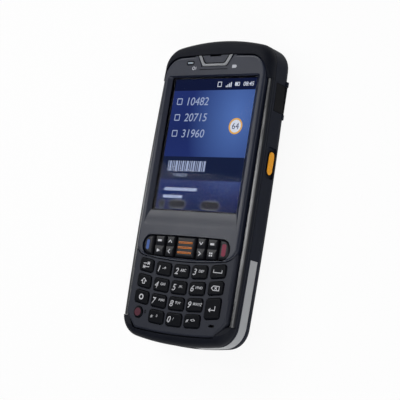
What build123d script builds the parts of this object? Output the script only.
from build123d import *
import math
import os

# Portable barcode data terminal, in millimetres. It lies on its back: +Z out of the screen, +Y to the
# scanner end. The origin is on the resting face, under the middle of the body.

# Plan of the body
LENGTH = 161.0
MID_HALF_WIDTH = 37.0
TOP_HALF_WIDTH = 35.25
BOTTOM_HALF_WIDTH = 36.0
TOP_ARC_R = 122.0
BOTTOM_ARC_R = 160.0
CORNER_R = 12.0
TOP_Y = LENGTH / 2
BOTTOM_Y = -LENGTH / 2

# Heights, from the back to the front
WALL = 2.2
REAR_TOP_Z = 18.65
GASKET_THICKNESS = 0.3
FRONT_Z = REAR_TOP_Z + GASKET_THICKNESS
SHELF_Z = 20.4
SKIRT_Z = 20.5
RAIL_Z = 21.7
KEYPAD_FACE_Z = 24.0
FACE_Z = 24.5
KEY_TOP_Z = 24.75
TOP_BUMPER_Z = 24.8
BOTTOM_BUMPER_Z = 24.2

# Back taper: the flat back is narrower than the body, and the slope meets the wall in a large round
SIDE_TAPER_RUN = 10.0
END_TAPER_RUN = 4.0
TAPER_RISE = 7.2
TAPER_ROUND = 6.0
FOOT_CORNER_R = 3.0

# Front face
FACE_HALF_WIDTH = 32.8
FACE_BOW = 0.2
FACE_TOP = 71.7
FACE_BOTTOM = -75.6
FACE_CORNER_R = 10.5
FACE_CUT_CORNER = 7.0
EDGE_R = 1.4
PLATE_THICKNESS = 1.6
SKIRT_WALL = 1.5
RIM_WIDTH = 0.9
CHANNEL = 0.8
RAIL_OUTER_R = 1.8
RAIL_INNER_R = 0.4
TOP_BUMPER_END = 59.0
BOTTOM_BUMPER_END = -68.0
TOP_BUMPER_R = 5.8
BOTTOM_BUMPER_R = 4.6
BUMPER_WALL = 1.8
FIT_GAP = 0.25
LED_PLACE = (-16.3, 67.7)
EAR_SLOT_X = (-3.7, 3.7)
EAR_SLOT_Y = 70.7
EAR_PASSAGE_Z = (21.4, 22.4)

# Screen
SCREEN_Y = 24.0
LCD_WIDTH = 53.28
LCD_LENGTH = 71.04
OPENING_X = (-28.0, 28.0)
OPENING_Y = (-11.8, 60.3)
OPENING_EDGE_Z = 23.0
FUNNEL_X = (-30.2, 30.2)
FUNNEL_TOP_Y = 60.9
RAMP_MIDDLE = (-15.9, 24.08)
RAMP_END_Y = -20.0
WINDOW_TOP_Z = 22.6
LCD_TOP_Z = 21.8

# Seven-key cluster
CLUSTER_HALF_WIDTH = 28.6
CLUSTER_TOP = -24.7
CLUSTER_BOTTOM = -36.6
CLUSTER_WEB_Z = (21.5, 22.6)
CLUSTER_KEY_Z = (20.4, 24.6)
CLUSTER_KEY_MARGIN = 0.55
CLUSTER_KEY_R = 1.5
ROCKER_CREST_Z = 24.7
ROCKER_VALLEY_Z = 24.0
CENTRE_BAR_Y = (-28.2, -30.8, -33.4)
CENTRE_KEY_HALF_WIDTH = 6.0
ROCKER_SPANS = {
    "cursor_left_rocker": (-12.7, -7.5),
    "cursor_right_rocker": (7.5, 12.7),
    "soft_left_rocker": (-20.2, -14.2),
    "soft_right_rocker": (14.2, 20.2),
}
END_KEY_START = 21.6
KEY_SLOT_GAP = 0.3

# Keypad: five columns, and rows that curve upwards to both sides
COLUMN_X = (-23.4, -11.75, 0.0, 11.75, 23.4)
COLUMN_WIDTH = (10.0, 10.7, 10.8, 10.7, 10.0)
ROW_Y = (-43.1, -51.5, -59.8, -68.0)
ROW_CURVE_R = 171.0
KEY_HEIGHT = 7.3
KEY_CORNER_R = 1.9
KEY_GAP = 0.25
ENTER_KEY_HEIGHT = 11.1
POWER_KEY_AT = (-24.2, -66.1)
POWER_KEY_R = 3.2
HORN_END_Y = -32.0
KEYPAD = {
    "key_tab": (0, 0),
    "key_1": (1, 0),
    "key_2": (2, 0),
    "key_3": (3, 0),
    "key_space": (4, 0),
    "key_shift": (0, 1),
    "key_4": (1, 1),
    "key_5": (2, 1),
    "key_6": (3, 1),
    "key_backspace": (4, 1),
    "key_menu": (0, 2),
    "key_7": (1, 2),
    "key_8": (2, 2),
    "key_9": (3, 2),
    "key_star": (1, 3),
    "key_0": (2, 3),
    "key_hash": (3, 3),
}
FLANGE_TOP_Z = 22.3
FLANGE_THICKNESS = 0.8
FLANGE_LIP = 0.35
PLUNGER_R = 1.3
PLUNGER_END_Z = 19.1

# Battery bay in the back
BAY_HALF_WIDTH = 24.5
BAY_TOP = 12.0
PACK_TOP = 11.4
BAY_BOTTOM = -62.0
BAY_DEPTH = 9.9
BAY_WALL = 1.3

# Right side: port door and trigger, with their mirror places on the left
DOOR_Y = (43.6, 57.9)
DOOR_TOP_Z = 16.7
DOOR_THICKNESS = 1.5
HINGE_X = 35.0
HINGE_Z = 7.9
KNUCKLE_R = 1.25
EAR_R = 1.6
SWING_R = 1.9
HINGE_PIN_R = 0.6
EAR_LENGTH = 2.4
TRIGGER_Y = 16.9
TRIGGER_Z = 12.3
TRIGGER_LENGTH = 12.2
TRIGGER_HEIGHT = 4.9
TRIGGER_FACE_X = 36.6
VOLUME_Y = 50.0
VOLUME_LENGTH = 17.0
VOLUME_FACE_X = 36.6

# Silver band round the bottom end
BAND_Z = (11.3, 17.3)
BAND_START_Y = -33.5
BAND_DEPTH = 0.9
DOCK_HALF_WIDTH = 9.5
DOCK_Z = (12.2, 16.6)

SCREW_PLACES = ((31.5, 64.0), (32.0, 0.0), (31.0, -63.0))
SCREW_R = 1.0
SCREW_HEAD_R = 1.9
SCREW_HEAD_Z = 8.4
BOSS_R = 2.6

BOARD_Z = (12.6, 13.8)
FRAME_Z = (16.2, 17.2)
KEYPAD_BOARD_Z = (17.4, 18.2)
CAMERA_PLACE = (0, 56)
LENS_PLACE = (3.5, 76.0, 12.9)


def closed_arcs(corners, bulges):
    """Face whose sides are arcs: side i runs from corner i to the next one through bulge i."""
    sides = Curve()
    for i, bulge in enumerate(bulges):
        sides += ThreePointArc(corners[i], bulge, corners[(i + 1) % len(corners)])
    return make_face(sides)


def block(x, y, z):
    """Block between two values on each axis."""
    size = (x[1] - x[0], y[1] - y[0], z[1] - z[0])
    middle = ((x[0] + x[1]) / 2, (y[0] + y[1]) / 2, (z[0] + z[1]) / 2)
    return Pos(*middle) * Box(*size)


def slab(sketch, z):
    """Plan sketch made solid between two heights."""
    return extrude(Pos(0, 0, z[0]) * sketch, z[1] - z[0])


def rectangle_between(x, y, radius):
    """Plan rectangle between two values on each axis, with round corners."""
    return Pos((x[0] + x[1]) / 2, (y[0] + y[1]) / 2) * RectangleRounded(x[1] - x[0], y[1] - y[0], radius)


def rounded_block(x, y, z, radius):
    """Block with rounded corners in plan."""
    return slab(rectangle_between(x, y, radius), z)


def post(x, y, radius, z):
    """Upright cylinder between two heights."""
    return Pos(x, y, (z[0] + z[1]) / 2) * Cylinder(radius, z[1] - z[0])


def both_sides(places):
    return [(side * x, y) for x, y in places for side in (-1, 1)]


def body_plan(inset=0.0, end_inset=None):
    """Bowed sides, arched ends and round corners, drawn inset from the sides and end_inset from the ends."""
    end = inset if end_inset is None else end_inset
    middle_x, top_x, bottom_x = (half - inset for half in (MID_HALF_WIDTH, TOP_HALF_WIDTH, BOTTOM_HALF_WIDTH))
    top, top_r = TOP_Y - end, TOP_ARC_R - end
    bottom, bottom_r = BOTTOM_Y + end, BOTTOM_ARC_R - end
    top_corner = top - top_r + math.sqrt(top_r**2 - top_x**2)
    bottom_corner = bottom + bottom_r - math.sqrt(bottom_r**2 - bottom_x**2)
    top_corners = [(-top_x, top_corner), (top_x, top_corner)]
    bottom_corners = [(bottom_x, bottom_corner), (-bottom_x, bottom_corner)]
    bulges = [(0, top), (middle_x, 0), (0, bottom), (-middle_x, 0)]
    plan = closed_arcs(top_corners + bottom_corners, bulges)
    return fillet(plan.vertices(), max(CORNER_R - inset, FOOT_CORNER_R))


def face_plan(grow=0.0):
    """Outline of the faceplate and keypad plate together, with the lower corners cut off."""
    half, top, bottom = FACE_HALF_WIDTH + grow, FACE_TOP + grow, FACE_BOTTOM - grow
    corners = [(-half, top - 1.2), (half, top - 1.2), (half, bottom + 2.0), (-half, bottom + 2.0)]
    plan = closed_arcs(corners, [(0, top), (half + FACE_BOW, 0), (0, bottom), (-half - FACE_BOW, 0)])
    plan = fillet(plan.vertices().group_by(Axis.Y)[-1], FACE_CORNER_R + grow)
    plan = chamfer(plan.vertices().group_by(Axis.Y)[0], FACE_CUT_CORNER + (2 - math.sqrt(2)) * grow)
    low = plan.vertices().filter_by(lambda v: v.Y < BOTTOM_BUMPER_END + 3)
    return fillet(low, 3.0 + grow)


def faceplate_plan(grow=0.0):
    """Upper faceplate: the face above a U-shaped lower edge that sweeps round the key cluster."""
    low_corner, low_middle, sweep_r = -33.9 - grow, -38.0 - grow, 7.5 + grow
    half = 40.0
    cup = Curve() + ThreePointArc((-half, low_corner), (0, low_middle), (half, low_corner))
    cup += Polyline((half, low_corner), (half, TOP_Y), (-half, TOP_Y), (-half, low_corner))
    plan = face_plan(grow) & make_face(cup)
    return fillet(plan.vertices().filter_by(lambda v: v.Y < -30), sweep_r)


def cluster_plan(grow=0.0):
    """Slim stadium with gently bowed long sides that holds the seven function keys."""
    half, top, bottom = CLUSTER_HALF_WIDTH + grow, CLUSTER_TOP + grow, CLUSTER_BOTTOM - grow
    corners = [(-half, top - 0.4), (half, top - 0.4), (half, bottom + 0.8), (-half, bottom + 0.8)]
    plan = closed_arcs(corners, [(0, top), (half + 0.05, -30.5), (0, bottom), (-half - 0.05, -30.5)])
    return fillet(plan.vertices(), 5.2 + grow)


def inner_run(run, inset):
    """Run of the taper on a surface that lies inset inside the outer one."""
    slope_length = math.hypot(run, TAPER_RISE)
    return run - inset * (1 + (run - slope_length) / TAPER_RISE)


def back_envelope(inset=0.0):
    """Outside of the rear housing, or a surface parallel to it inside."""
    side_run = inner_run(SIDE_TAPER_RUN, inset)
    end_run = inner_run(END_TAPER_RUN, inset)
    rise = side_run * TAPER_RISE / SIDE_TAPER_RUN
    shoulder = Pos(0, 0, inset + rise) * body_plan(inset)
    foot = Pos(0, 0, inset) * body_plan(inset + side_run, inset + end_run)
    taper = loft([foot, shoulder], ruled=True)
    wall = extrude(shoulder, REAR_TOP_Z - inset - rise)
    body = taper + wall
    ring = body.edges().filter_by(lambda e: abs(e.center().Z - inset - rise) < 0.01)
    body = fillet(ring, TAPER_ROUND - inset)
    return body


BACK = back_envelope()


def wall_strip(depth, z):
    """Outermost layer of the side wall, all the way round."""
    return slab(body_plan() - body_plan(depth), z)


def battery_bay_walls():
    x = BAY_HALF_WIDTH + BAY_WALL
    bay = block((-x, x), (BAY_BOTTOM - BAY_WALL, BAY_TOP + BAY_WALL), (0, BAY_DEPTH + BAY_WALL))
    latch_seat = block((-9, 9), (BAY_TOP, 25), (0, WALL + 1.2))
    return bay + latch_seat


def speaker_slots():
    slots = Part()
    for i in range(5):
        slots += slab(Pos(0, 31.5 + 2.6 * i) * SlotOverall(14, 1.2), (-1, WALL + 1))
    return slots


def hinge_ears():
    """Two ears that stand proud of the back's round edge and hold the door's pin."""
    ears = Part()
    for y in (DOOR_Y[0] - 0.3 - EAR_LENGTH / 2, DOOR_Y[1] + 0.3 + EAR_LENGTH / 2):
        barrel = Rot(90, 0, 0) * Cylinder(EAR_R, EAR_LENGTH)
        web = Pos(-1.6, 0, 0) * Box(3.2, EAR_LENGTH, 2 * EAR_R)
        ears += Pos(HINGE_X, y, HINGE_Z) * (barrel + web)
    return ears


def hinge_rod(radius, length):
    """Round bar on the door's hinge axis."""
    return Pos(HINGE_X, sum(DOOR_Y) / 2, HINGE_Z) * Rot(90, 0, 0) * Cylinder(radius, length)


def door_pocket():
    pocket = block((33.0, 40), (DOOR_Y[0] - 0.25, DOOR_Y[1] + 0.25), (HINGE_Z, DOOR_TOP_Z + 0.25))
    room = hinge_rod(SWING_R, DOOR_Y[1] - DOOR_Y[0] + 0.5)
    outward = block((HINGE_X, 40), (DOOR_Y[0] - 0.25, DOOR_Y[1] + 0.25), (HINGE_Z - 3.2, HINGE_Z + 1))
    return pocket + room + outward


def trigger_profile(length, height, x):
    """Stadium standing on edge, as a plane face facing the side, its long side along Y."""
    return Plane(origin=x, x_dir=(0, 1, 0), z_dir=(1, 0, 0)) * SlotOverall(length, height)


def side_button_cut(y, length, side, recess):
    """Recess in the side wall with the smaller hole that the button passes through."""
    hole = extrude(trigger_profile(length + 0.5, TRIGGER_HEIGHT + 0.5, (30, y, TRIGGER_Z)), 12)
    frame = Plane(origin=(35.7, y, TRIGGER_Z + 0.7), x_dir=(0, 1, 0), z_dir=(1, 0, 0))
    dish = extrude(frame * RectangleRounded(recess[0], recess[1], 1.2), 5)
    cut = hole + dish
    return cut if side > 0 else mirror(cut, Plane.YZ)


def rear_housing():
    """Tub with the tapered back, battery bay, side recesses and screw bosses."""
    tub = BACK - back_envelope(WALL)
    inside = BACK & battery_bay_walls()
    for x, y in both_sides(SCREW_PLACES):
        inside += BACK & post(x, y, BOSS_R, (0, REAR_TOP_Z))
    port_pad = block((31.5, 35.5), (42.0, 59.5), (5.5, 17.6))
    tub = tub + inside + (BACK & port_pad)
    tub += hinge_ears()
    bay_x = (-BAY_HALF_WIDTH, BAY_HALF_WIDTH)
    tub -= rounded_block(bay_x, (BAY_BOTTOM, BAY_TOP), (-1, BAY_DEPTH), 2.5)
    tub -= block((-7.0, 7.0), (-58.0, -54.0), (0, 13))
    tub -= rounded_block((-6.8, 6.8), (13.3, 22.7), (-1, WALL), 1.0)
    tub -= block((-4.3, 4.3), (11.0, 14.0), (-1, 2.0))
    for x, y in both_sides(SCREW_PLACES):
        tub -= post(x, y, SCREW_HEAD_R + 0.3, (-1, SCREW_HEAD_Z))
        tub -= post(x, y, SCREW_R + 0.1, (-1, REAR_TOP_Z + 1))
    tub -= speaker_slots()
    tub -= post(*CAMERA_PLACE, 4.3, (-1, WALL + 1))
    tub -= door_pocket()
    tub -= hinge_rod(HINGE_PIN_R + 0.02, 2 * EAR_LENGTH + 15.5)
    tub -= block((30, 34), (46.2, 54.8), (11.4, 15.6))
    recess_height = TRIGGER_HEIGHT + 2.6
    for side in (1, -1):
        tub -= side_button_cut(TRIGGER_Y, TRIGGER_LENGTH, side, (TRIGGER_LENGTH + 3.8, recess_height))
    tub -= side_button_cut(VOLUME_Y, VOLUME_LENGTH, -1, (VOLUME_LENGTH + 2.4, recess_height))
    groove = wall_strip(BAND_DEPTH + 0.1, (BAND_Z[0] - 0.1, BAND_Z[1] + 0.1))
    tub -= groove & block((-50, 50), (-90, BAND_START_Y + 0.1), (0, 30))
    tub -= block((-9.8, 9.8), (-85, -74), (DOCK_Z[0] - 0.3, DOCK_Z[1] + 0.3))
    tub -= rounded_block((-10.0, 10.0), (70, 90), (10.3, 16.3), 1.0)
    tub -= block((-11.4, 11.4), (75, 79.35), (9.6, 17.0))
    return tub


def front_housing():
    """Ring with the two crowned side rails, the channel beside them and a sunk shelf at each end."""
    ring = slab(body_plan(), (FRONT_Z, RAIL_Z))
    ring = fillet(ring.edges().group_by(Axis.Z)[-1], RAIL_OUTER_R)
    channel = face_plan(CHANNEL)
    ring -= slab(channel, (SHELF_Z, RAIL_Z + 1))
    on_top = ring.edges().filter_by(lambda e: abs(e.center().Z - RAIL_Z) < 0.01)
    rim = on_top.filter_by(lambda e: abs(e.center().X) < 34.5)
    ring = fillet(rim, RAIL_INNER_R)
    middle = block((-50, 50), (BOTTOM_BUMPER_END + 0.1, TOP_BUMPER_END - 0.1), (0, 40))
    ends = slab(body_plan(BUMPER_WALL), (FRONT_Z, SHELF_Z))
    ring = (ring & middle) + ends
    ring -= rounded_block((-29.0, 29.0), (-73.0, 69.5), (0, 40), 5.0)
    for x, y in both_sides(SCREW_PLACES):
        ring -= post(x, y, 0.8, (FRONT_Z - 1, SHELF_Z - 0.4))
    return ring


def bumper(end_y, top_z, edge_r, ramp_length):
    """Rubber cap over one end: it wraps the corners and ramps down to the rails."""
    cap = slab(body_plan(), (FRONT_Z, top_z))
    cap = fillet(cap.edges().group_by(Axis.Z)[-1], edge_r)
    side = 1 if end_y > 0 else -1
    reach = sorted((end_y + 0.1 * side, side * 100))
    cap &= block((-50, 50), reach, (0, 40))
    cap -= slab(body_plan(BUMPER_WALL), (0, SHELF_Z))
    cap -= slab(face_plan(FIT_GAP), (SHELF_Z - 1, 40))
    start_y, finish_y = end_y - side, end_y + side * ramp_length
    ramp = Polyline((start_y, RAIL_Z + 0.2), (finish_y, top_z), (start_y, top_z), close=True)
    wedge = Plane.YZ * make_face(ramp)
    return cap - extrude(wedge, 50, both=True)


def top_bumper():
    return bumper(TOP_BUMPER_END, TOP_BUMPER_Z, TOP_BUMPER_R, 8.0)


def bottom_bumper():
    return bumper(BOTTOM_BUMPER_END, BOTTOM_BUMPER_Z, BOTTOM_BUMPER_R, 5.0)


def earpiece_shield(grow):
    """Shield-shaped outline below the ear slot, wide at the top."""
    left = [(-12.4, 76), (-12.4, 71.6), (-8.7, 66.3)]
    right = [(-x, y) for x, y in reversed(left)]
    plan = make_face(Polyline(*left, *right, close=True))
    plan = fillet(plan.vertices().group_by(Axis.Y)[0], 2.4)
    return offset(plan, amount=grow) & Pos(0, 40) * Rectangle(60, 2 * (FACE_TOP - 0.35 - 40))


def earpiece_wedge(rise):
    """Everything under a plane that climbs towards the top bumper."""
    foot_y, end_y, slope = 65.0, 76.0, 0.05
    foot_z = FACE_Z + rise
    end_z = foot_z + slope * (end_y - foot_y)
    top = [(foot_y - 2, foot_z), (foot_y, foot_z), (end_y, end_z)]
    section = make_face(Polyline((foot_y - 2, 20), *top, (end_y, 20), close=True))
    return extrude(Plane.YZ * section, 30, both=True)


def above_ramp():
    """Everything over the ramp, which climbs from the window's lower edge and rolls off into the face."""
    start, end = (OPENING_Y[0], OPENING_EDGE_Z), (RAMP_END_Y, FACE_Z)
    high_z, far_y = FACE_Z + 1, FUNNEL_TOP_Y + 2
    roof = Polyline(end, (RAMP_END_Y, high_z), (far_y, high_z), (far_y, OPENING_EDGE_Z), start)
    section = make_face(ThreePointArc(start, RAMP_MIDDLE, end) + roof)
    return extrude(Plane.YZ * section, 40, both=True)


def screen_funnel():
    """Drafted opening over the window: steep walls at the top and sides, and a ramp at the bottom."""
    well = slab(rectangle_between(OPENING_X, OPENING_Y, 0.8), (SKIRT_Z, OPENING_EDGE_Z))
    foot_y = RAMP_END_Y - 3
    low = Pos(0, 0, OPENING_EDGE_Z) * rectangle_between(OPENING_X, (foot_y, OPENING_Y[1]), 0.8)
    rim = rectangle_between(FUNNEL_X, (foot_y, FUNNEL_TOP_Y), 1.6)
    cut = loft([low, Pos(0, 0, FACE_Z) * rim], ruled=True) + slab(rim, (FACE_Z, FACE_Z + 1))
    return well + (cut & above_ramp())


def ear_slot():
    """Slot at the upper end of the shield, with the passage that leads from it to the receiver."""
    mouth = block(EAR_SLOT_X, (EAR_SLOT_Y, 73), (EAR_PASSAGE_Z[0], 27))
    return mouth + block(EAR_SLOT_X, (EAR_SLOT_Y - 1, EAR_SLOT_Y + 0.1), EAR_PASSAGE_Z)


def faceplate():
    """Satin upper plate with the drafted screen opening, cluster slot and a skirt underneath."""
    plate = slab(faceplate_plan(), (SKIRT_Z, FACE_Z))
    plate = fillet(plate.edges().group_by(Axis.Z)[-1], EDGE_R)
    boss = slab(earpiece_shield(-0.65), (FACE_Z - 0.5, 27)) & earpiece_wedge(0.0)
    plate += boss
    hollow = slab(faceplate_plan(-SKIRT_WALL), (SKIRT_Z - 1, WINDOW_TOP_Z + 0.1))
    plate -= hollow
    plate -= slab(earpiece_shield(1.1) - earpiece_shield(-0.75), (FACE_Z - 0.55, 27))
    plate -= screen_funnel()
    plate -= ear_slot()
    plate -= slab(cluster_plan(), (SKIRT_Z - 1, 30))
    plate -= slab(Pos(*LED_PLACE) * SlotOverall(3.8, 1.0), (SKIRT_Z - 1, 30))
    step = slab(face_plan() - faceplate_plan(-RIM_WIDTH), (KEYPAD_FACE_Z, 30))
    return plate - (step & block((-50, 50), (-45, -31.0), (0, 30)))


def earpiece_trim():
    """Bright U-shaped strip set into the faceplate round the earpiece shield."""
    strip = slab(earpiece_shield(0.65) - earpiece_shield(-0.65), (FACE_Z - 0.5, 27))
    return strip & earpiece_wedge(0.2)


def key_outline(column, row_middle, height, margin=0.0):
    """Four-sided key whose top and bottom follow the curved row. A positive margin makes it smaller."""
    x0 = COLUMN_X[column] - COLUMN_WIDTH[column] / 2 + margin
    x1 = COLUMN_X[column] + COLUMN_WIDTH[column] / 2 - margin
    half = height / 2 - margin
    lift0, lift1 = x0**2 / (2 * ROW_CURVE_R), x1**2 / (2 * ROW_CURVE_R)
    low_left, low_right = (x0, row_middle - half + lift0), (x1, row_middle - half + lift1)
    high_right, high_left = (x1, row_middle + half + lift1), (x0, row_middle + half + lift0)
    plan = make_face(Polyline(low_left, low_right, high_right, high_left, close=True))
    return fillet(plan.vertices(), KEY_CORNER_R - margin)


def enter_outline(margin=0.0):
    middle = ROW_Y[2] + KEY_HEIGHT / 2 - ENTER_KEY_HEIGHT / 2
    return key_outline(4, middle, ENTER_KEY_HEIGHT, margin)


def power_outline(margin=0.0):
    return Pos(*POWER_KEY_AT) * Circle(POWER_KEY_R - margin)


def keypad_outlines(margin=0.0):
    """Outline of each keypad key, by name."""
    plans = {}
    for name, (column, row) in KEYPAD.items():
        plans[name] = key_outline(column, ROW_Y[row], KEY_HEIGHT, margin)
    plans["key_enter"] = enter_outline(margin)
    plans["key_power"] = power_outline(margin)
    return plans


def keypad_plate():
    """Lower plate with one aperture per key, a round outer edge and a horn on each side of the faceplate."""
    plate = slab(face_plan(), (SKIRT_Z, KEYPAD_FACE_Z))
    plate = fillet(plate.edges().group_by(Axis.Z)[-1], EDGE_R)
    plate -= slab(faceplate_plan(0.35), (0, 30))
    plate &= block((-50, 50), (-90, HORN_END_Y), (0, 30))
    plate -= slab(face_plan(-SKIRT_WALL), (SKIRT_Z - 1, KEYPAD_FACE_Z - PLATE_THICKNESS))
    for plan in keypad_outlines().values():
        plate -= slab(plan, (SKIRT_Z, 30))
    return plate - slab(Pos(24.0, -68.6) * SlotOverall(3.6, 1.4), (SKIRT_Z, 30))


def keypad_key(name):
    """Cap with a soft top edge, a hidden retaining flange and a plunger."""
    cap_plan = keypad_outlines(KEY_GAP)[name]
    flange_plan = keypad_outlines(-FLANGE_LIP)[name]
    flange_z = (FLANGE_TOP_Z - FLANGE_THICKNESS, FLANGE_TOP_Z)
    cap = slab(cap_plan, (flange_z[0], KEY_TOP_Z))
    cap = fillet(cap.edges().group_by(Axis.Z)[-1], 0.7)
    middle = cap_plan.center()
    plunger = post(middle.X, middle.Y, PLUNGER_R, (PLUNGER_END_Z, flange_z[0]))
    return cap + slab(flange_plan, flange_z) + plunger


def cluster_piece(x_span, margin):
    """Part of the cluster slot between two X values, drawn margin inside it."""
    middle, width = (x_span[0] + x_span[1]) / 2, x_span[1] - x_span[0]
    return cluster_plan(-margin) & Pos(middle, -30) * Rectangle(width, 30)


def cluster_spans():
    """X span of each cluster key, by name."""
    far = CLUSTER_HALF_WIDTH + 1
    spans = {"key_send": (-far, -END_KEY_START), "key_end": (END_KEY_START, far)}
    spans["key_centre"] = (-CENTRE_KEY_HALF_WIDTH, CENTRE_KEY_HALF_WIDTH)
    spans.update(ROCKER_SPANS)
    return spans


def grown(span, by):
    return (span[0] - by, span[1] + by)


def cluster_web():
    """Black grid between the function keys, with a tab at each end under the faceplate."""
    web = slab(cluster_plan(-0.1), CLUSTER_WEB_Z) + block((-30.2, 30.2), (-30.0, -26.6), CLUSTER_WEB_Z)
    for span in cluster_spans().values():
        hole = cluster_piece(grown(span, KEY_SLOT_GAP), CLUSTER_KEY_MARGIN - KEY_SLOT_GAP)
        web -= slab(hole, (0, 30))
    return web


def cluster_key(name):
    """Function key with a soft top edge and a plunger."""
    cap = slab(cluster_piece(cluster_spans()[name], CLUSTER_KEY_MARGIN), CLUSTER_KEY_Z)
    cap = fillet(cap.edges().group_by(Axis.Z)[-1], CLUSTER_KEY_R)
    middle = cap.center()
    if name == "key_centre":
        for y in CENTRE_BAR_Y:
            cap += Pos(0, y, CLUSTER_KEY_Z[1]) * Rot(0, 90, 0) * Cylinder(0.45, 8.8)
    return cap + post(middle.X, middle.Y, PLUNGER_R, (PLUNGER_END_Z, CLUSTER_KEY_Z[0]))


def rocker(name):
    """See-saw key with two crests and a valley over its pivot."""
    span = cluster_spans()[name]
    body = slab(cluster_piece(span, CLUSTER_KEY_MARGIN), (CLUSTER_KEY_Z[0], ROCKER_CREST_Z))
    body = fillet(body.edges().group_by(Axis.Z)[-1], 1.2)
    box = body.bounding_box()
    y0, y1 = box.min.Y, box.max.Y
    middle = (y0 + y1) / 2
    crest = (y1 - y0) / 4
    end_z = ROCKER_CREST_Z - 0.5
    profile = Curve() + Polyline((y1, end_z), (y1, 20), (y0, 20), (y0, end_z))
    profile += ThreePointArc((y0, end_z), (middle - crest, ROCKER_CREST_Z), (middle, ROCKER_VALLEY_Z))
    profile += ThreePointArc((middle, ROCKER_VALLEY_Z), (middle + crest, ROCKER_CREST_Z), (y1, end_z))
    body &= extrude(Plane.YZ * make_face(profile), 40, both=True)
    pivot_place = Pos((span[0] + span[1]) / 2, middle, CLUSTER_KEY_Z[0])
    return body + pivot_place * Rot(0, 90, 0) * Cylinder(0.9, span[1] - span[0] - 1)


def trigger_button(side):
    """Oval side button with a flange behind the wall and a stem towards its switch."""
    y, z = TRIGGER_Y, TRIGGER_Z
    cap = extrude(trigger_profile(TRIGGER_LENGTH, TRIGGER_HEIGHT, (34.0, y, z)), TRIGGER_FACE_X - 34.0)
    cap = fillet(cap.edges().group_by(Axis.X)[-1], 0.8)
    flange = extrude(trigger_profile(TRIGGER_LENGTH + 1.4, TRIGGER_HEIGHT + 0.6, (33.4, y, z)), 0.8)
    stem = Pos(33.1, y, z) * Box(0.8, 4, 2)
    button = cap + flange + stem
    return button if side > 0 else mirror(button, Plane.YZ)


def volume_rocker():
    """Long side rocker with two crests, on the left wall."""
    y, z, half = VOLUME_Y, TRIGGER_Z, VOLUME_LENGTH / 2
    body = extrude(trigger_profile(VOLUME_LENGTH, TRIGGER_HEIGHT, (33.6, y, z)), VOLUME_FACE_X - 33.6)
    end_x, valley_x = VOLUME_FACE_X - 0.6, VOLUME_FACE_X - 0.7
    profile = Curve() + Polyline((end_x, y + half), (30, y + half), (30, y - half), (end_x, y - half))
    profile += ThreePointArc((end_x, y - half), (VOLUME_FACE_X, y - half / 2), (valley_x, y))
    profile += ThreePointArc((valley_x, y), (VOLUME_FACE_X, y + half / 2), (end_x, y + half))
    body &= extrude(make_face(profile), 30)
    pivot = Pos(33.6, y, z) * Cylinder(0.8, 3.6)
    return mirror(body + pivot, Plane.YZ)


def port_door():
    """Curved door cut from the same surface as the wall, with a hinge barrel along its lower edge."""
    skin = BACK - back_envelope(DOOR_THICKNESS)
    panel = skin & block((30, 45), DOOR_Y, (HINGE_Z, DOOR_TOP_Z))
    length = DOOR_Y[1] - DOOR_Y[0]
    barrel = hinge_rod(KNUCKLE_R, length)
    bore = hinge_rod(HINGE_PIN_R + 0.06, length + 2)
    seal = block((33.4, 35.2), (46.5, 54.5), (11.7, 15.3)) - block((33.9, 34.5), (47.3, 53.7), (12.5, 14.5))
    return panel + barrel + seal - bore


def port_door_pin():
    return hinge_rod(HINGE_PIN_R, DOOR_Y[1] - DOOR_Y[0] + 2 * EAR_LENGTH + 0.4)


def side_connector():
    shell = block((25.8, 33.2), (46.6, 54.4), (11.7, 15.3))
    mouth = block((27.5, 34), (47.1, 53.9), (12.2, 14.8))
    tongue = block((27.0, 32.6), (47.9, 53.1), (13.1, 13.9))
    return shell - mouth + tongue


def trim_band():
    """Silver band let into the wall: up both sides and round the bottom end, open at the dock."""
    band = wall_strip(BAND_DEPTH, BAND_Z) & block((-50, 50), (-90, BAND_START_Y), (0, 30))
    return band - block((-DOCK_HALF_WIDTH - 2, DOCK_HALF_WIDTH + 2), (-90, -60), (0, 30))


def touch_window():
    return rounded_block((-29.4, 29.4), (-13.2, 62.0), (21.9, WINDOW_TOP_Z), 1.5)


def lcd_panel():
    """Display with its metal tray and glass."""
    tray = rounded_block((-28.4, 28.4), (-13.6, 62.0), (17.9, LCD_TOP_Z), 1.0)
    glass = Pos(0, SCREEN_Y) * Rectangle(LCD_WIDTH + 1.2, LCD_LENGTH + 1.2)
    return tray - slab(glass, (LCD_TOP_Z - 0.3, 30))


def board_plan(inset, clear_r):
    plan = body_plan(inset)
    for x, y in both_sides(SCREW_PLACES):
        plan -= Pos(x, y) * Circle(clear_r)
    return plan


def inner_frame():
    """Stiff plate that carries the display above and the main board below, on short pillars."""
    plate = slab(board_plan(4.5, BOSS_R + 0.4), FRAME_Z)
    plate -= rounded_block((-22, 22), (-8, 52), (0, 30), 3.0)
    plate -= slab(Pos(*LED_PLACE) * SlotOverall(5, 2.2), (0, 30))
    plate -= block((-12.5, 12.5), (60.5, 90), (0, 30))
    plate -= block((31.2, 40), (41.5, 60.0), (0, 30))
    plate -= block((-10.2, 10.2), (-90, -71.0), (0, 30))
    for x, y in ((-20, 58), (20, 58), (-24, -20), (24, -20), (-20, -66), (20, -66)):
        plate += post(x, y, 1.6, (BOARD_Z[1], FRAME_Z[0]))
    return plate


def main_board():
    """Circuit board with its shield cans, cut out for the scan engine and both connectors."""
    board = slab(board_plan(5.2, BOSS_R + 0.4), BOARD_Z)
    board -= block((-12.5, 12.5), (60.5, 90), (0, 30))
    board -= block((25.4, 40), (46.0, 55.0), (0, 30))
    board -= block((-10.2, 10.2), (-90, -71.0), (0, 30))
    for x, y in (((-18, 4), (10, 40)), ((8, 24), (14, 36)), ((-20, 18), (-50, -26))):
        board += rounded_block(x, y, (BOARD_Z[1], BOARD_Z[1] + 1.8), 0.6)
    return board


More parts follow.
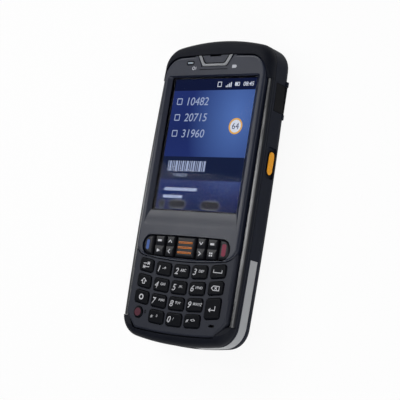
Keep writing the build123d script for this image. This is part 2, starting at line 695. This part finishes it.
def keypad_board():
    return rounded_block((-28.2, 28.2), (-71.5, -23.5), KEYPAD_BOARD_Z, 4.0)


def dome_sheet():
    """Thin carrier sheet with one snap dome under each keypad key."""
    board_top = KEYPAD_BOARD_Z[1]
    sheet = rounded_block((-27.8, 27.8), (-71.0, -24.0), (board_top + 0.02, board_top + 0.17), 4.0)
    for plan in keypad_outlines().values():
        middle = plan.center()
        sheet += post(middle.X, middle.Y, 1.9, (board_top + 0.05, board_top + 0.35))
    return sheet


def keypad_mat():
    """Silicone mat between the keys and the domes, open round each plunger."""
    mat = rounded_block((-28.2, 28.2), (-71.5, -38.6), (19.7, 20.7), 4.0)
    for plan in keypad_outlines().values():
        middle = plan.center()
        mat -= post(middle.X, middle.Y, PLUNGER_R + 0.6, (0, 30))
    return mat


def case_gasket():
    return slab(body_plan(0.5) - body_plan(1.5), (REAR_TOP_Z, FRONT_Z))


def earpiece_receiver():
    can = rounded_block((-6.0, 6.0), (63.2, 69.0), (18.2, 21.4), 2.0)
    return can - rounded_block((-4.0, 4.0), (64.6, 67.6), (21.0, 30), 1.0)


def status_light_pipe():
    return slab(Pos(*LED_PLACE) * SlotOverall(3.6, 0.8), (FRAME_Z[1] + 0.3, FACE_Z + 0.05))


def loudspeaker():
    frame = rounded_block((-9.5, 9.5), (29.5, 44.0), (2.6, 6.2), 5.0)
    return frame - rounded_block((-7.5, 7.5), (31.5, 42.0), (0, 3.2), 3.5)


def scan_engine():
    """Imager block with its lens barrel and two aiming windows, looking out of the top end."""
    body = block((-10.5, 10.5), (62.0, 76.0), (9.2, 16.6))
    lens = Pos(*LENS_PLACE) * Rot(90, 0, 0) * Cylinder(2.6, 1.6)
    barrel = Pos(*LENS_PLACE) * Rot(90, 0, 0) * Cylinder(1.7, 4)
    body = body + lens - barrel
    for x in (-7.5, -2.5):
        body -= block((x - 1.7, x + 1.7), (74.5, 80), (11.4, 14.4))
    return body


def scan_window():
    return block((-11.2, 11.2), (77.9, 79.2), (9.8, 16.8))


def camera_module():
    """Camera cell on its small base, with the lens ring in the back wall."""
    ring = post(*CAMERA_PLACE, 4.1, (0.5, 3.2)) - post(*CAMERA_PLACE, 2.6, (-1, 1.2))
    return ring + block((-4.6, 4.6), (51.4, 60.6), (3.0, 7.4))


def dock_connector():
    """Contact block in the bottom end, with a row of sunk contacts."""
    body = block((-DOCK_HALF_WIDTH, DOCK_HALF_WIDTH), (-79.4, -71.3), DOCK_Z)
    for i in range(9):
        x = -8.0 + 2.0 * i
        body -= block((x - 0.5, x + 0.5), (-80, -78.4), (DOCK_Z[0] + 1.0, DOCK_Z[1] - 1.0))
    return body


def battery_contacts():
    """Block with four sprung contact blades over the battery bay."""
    body = block((-6.8, 6.8), (-57.8, -54.2), (10.2, BOARD_Z[0] - 0.05))
    for i in range(4):
        x = -4.5 + 3.0 * i
        body += block((x - 0.6, x + 0.6), (-57.0, -55.0), (9.7, 10.3))
    return body


def battery_pack():
    """Pack whose outer face completes the back, with round corners and a chamfered edge for the bay."""
    x = BAY_HALF_WIDTH - 0.25
    pack = rounded_block((-x, x), (BAY_BOTTOM + 0.25, PACK_TOP), (0.2, BAY_DEPTH - 0.4), 2.3)
    return chamfer(pack.edges().group_by(Axis.Z)[0], 0.5)


def battery_latch():
    """Ribbed slider whose tongue reaches through the bay wall to the end of the pack."""
    slider = rounded_block((-6.4, 6.4), (13.7, 19.6), (0.3, 1.9), 1.0)
    tongue = block((-4.0, 4.0), (PACK_TOP + 0.3, 14.5), (0.4, 1.7))
    for i in range(4):
        slider -= block((-4.5, 4.5), (14.9 + i, 15.3 + i), (0, 0.7))
    return slider + tongue


def case_screws():
    """Six screws from the back: head, shank and a hexagon socket."""
    screws = Part()
    for x, y in both_sides(SCREW_PLACES):
        head = post(x, y, SCREW_HEAD_R, (SCREW_HEAD_Z - 1.6, SCREW_HEAD_Z - 0.05))
        shank = post(x, y, 0.75, (SCREW_HEAD_Z - 0.1, SHELF_Z - 0.6))
        socket = slab(Pos(x, y) * RegularPolygon(0.9, 6), (SCREW_HEAD_Z - 2, SCREW_HEAD_Z - 0.8))
        screws += head + shank - socket
    return screws


def all_parts():
    parts = {
        "rear_housing": rear_housing(),
        "front_housing": front_housing(),
        "faceplate": faceplate(),
        "keypad_plate": keypad_plate(),
        "cluster_web": cluster_web(),
        "touch_window": touch_window(),
        "lcd_panel": lcd_panel(),
        "inner_frame": inner_frame(),
        "main_board": main_board(),
        "keypad_board": keypad_board(),
        "dome_sheet": dome_sheet(),
        "keypad_mat": keypad_mat(),
        "case_gasket": case_gasket(),
        "top_bumper": top_bumper(),
        "bottom_bumper": bottom_bumper(),
        "trim_band": trim_band(),
        "earpiece_trim": earpiece_trim(),
        "earpiece_receiver": earpiece_receiver(),
        "status_light_pipe": status_light_pipe(),
        "loudspeaker": loudspeaker(),
        "scan_engine": scan_engine(),
        "scan_window": scan_window(),
        "camera_module": camera_module(),
        "case_screws": case_screws(),
        "dock_connector": dock_connector(),
        "battery_contacts": battery_contacts(),
        "side_connector": side_connector(),
        "port_door": port_door(),
        "port_door_pin": port_door_pin(),
        "battery_pack": battery_pack(),
        "battery_latch": battery_latch(),
        "right_trigger": trigger_button(1),
        "left_trigger": trigger_button(-1),
        "volume_rocker": volume_rocker(),
    }
    for name in ("key_send", "key_end", "key_centre"):
        parts[name] = cluster_key(name)
    for name in ROCKER_SPANS:
        parts[name] = rocker(name)
    for name in keypad_outlines():
        parts[name] = keypad_key(name)
    return parts


os.makedirs("parts", exist_ok=True)
for node, solid in all_parts().items():
    export_step(solid, f"parts/{node}.step")
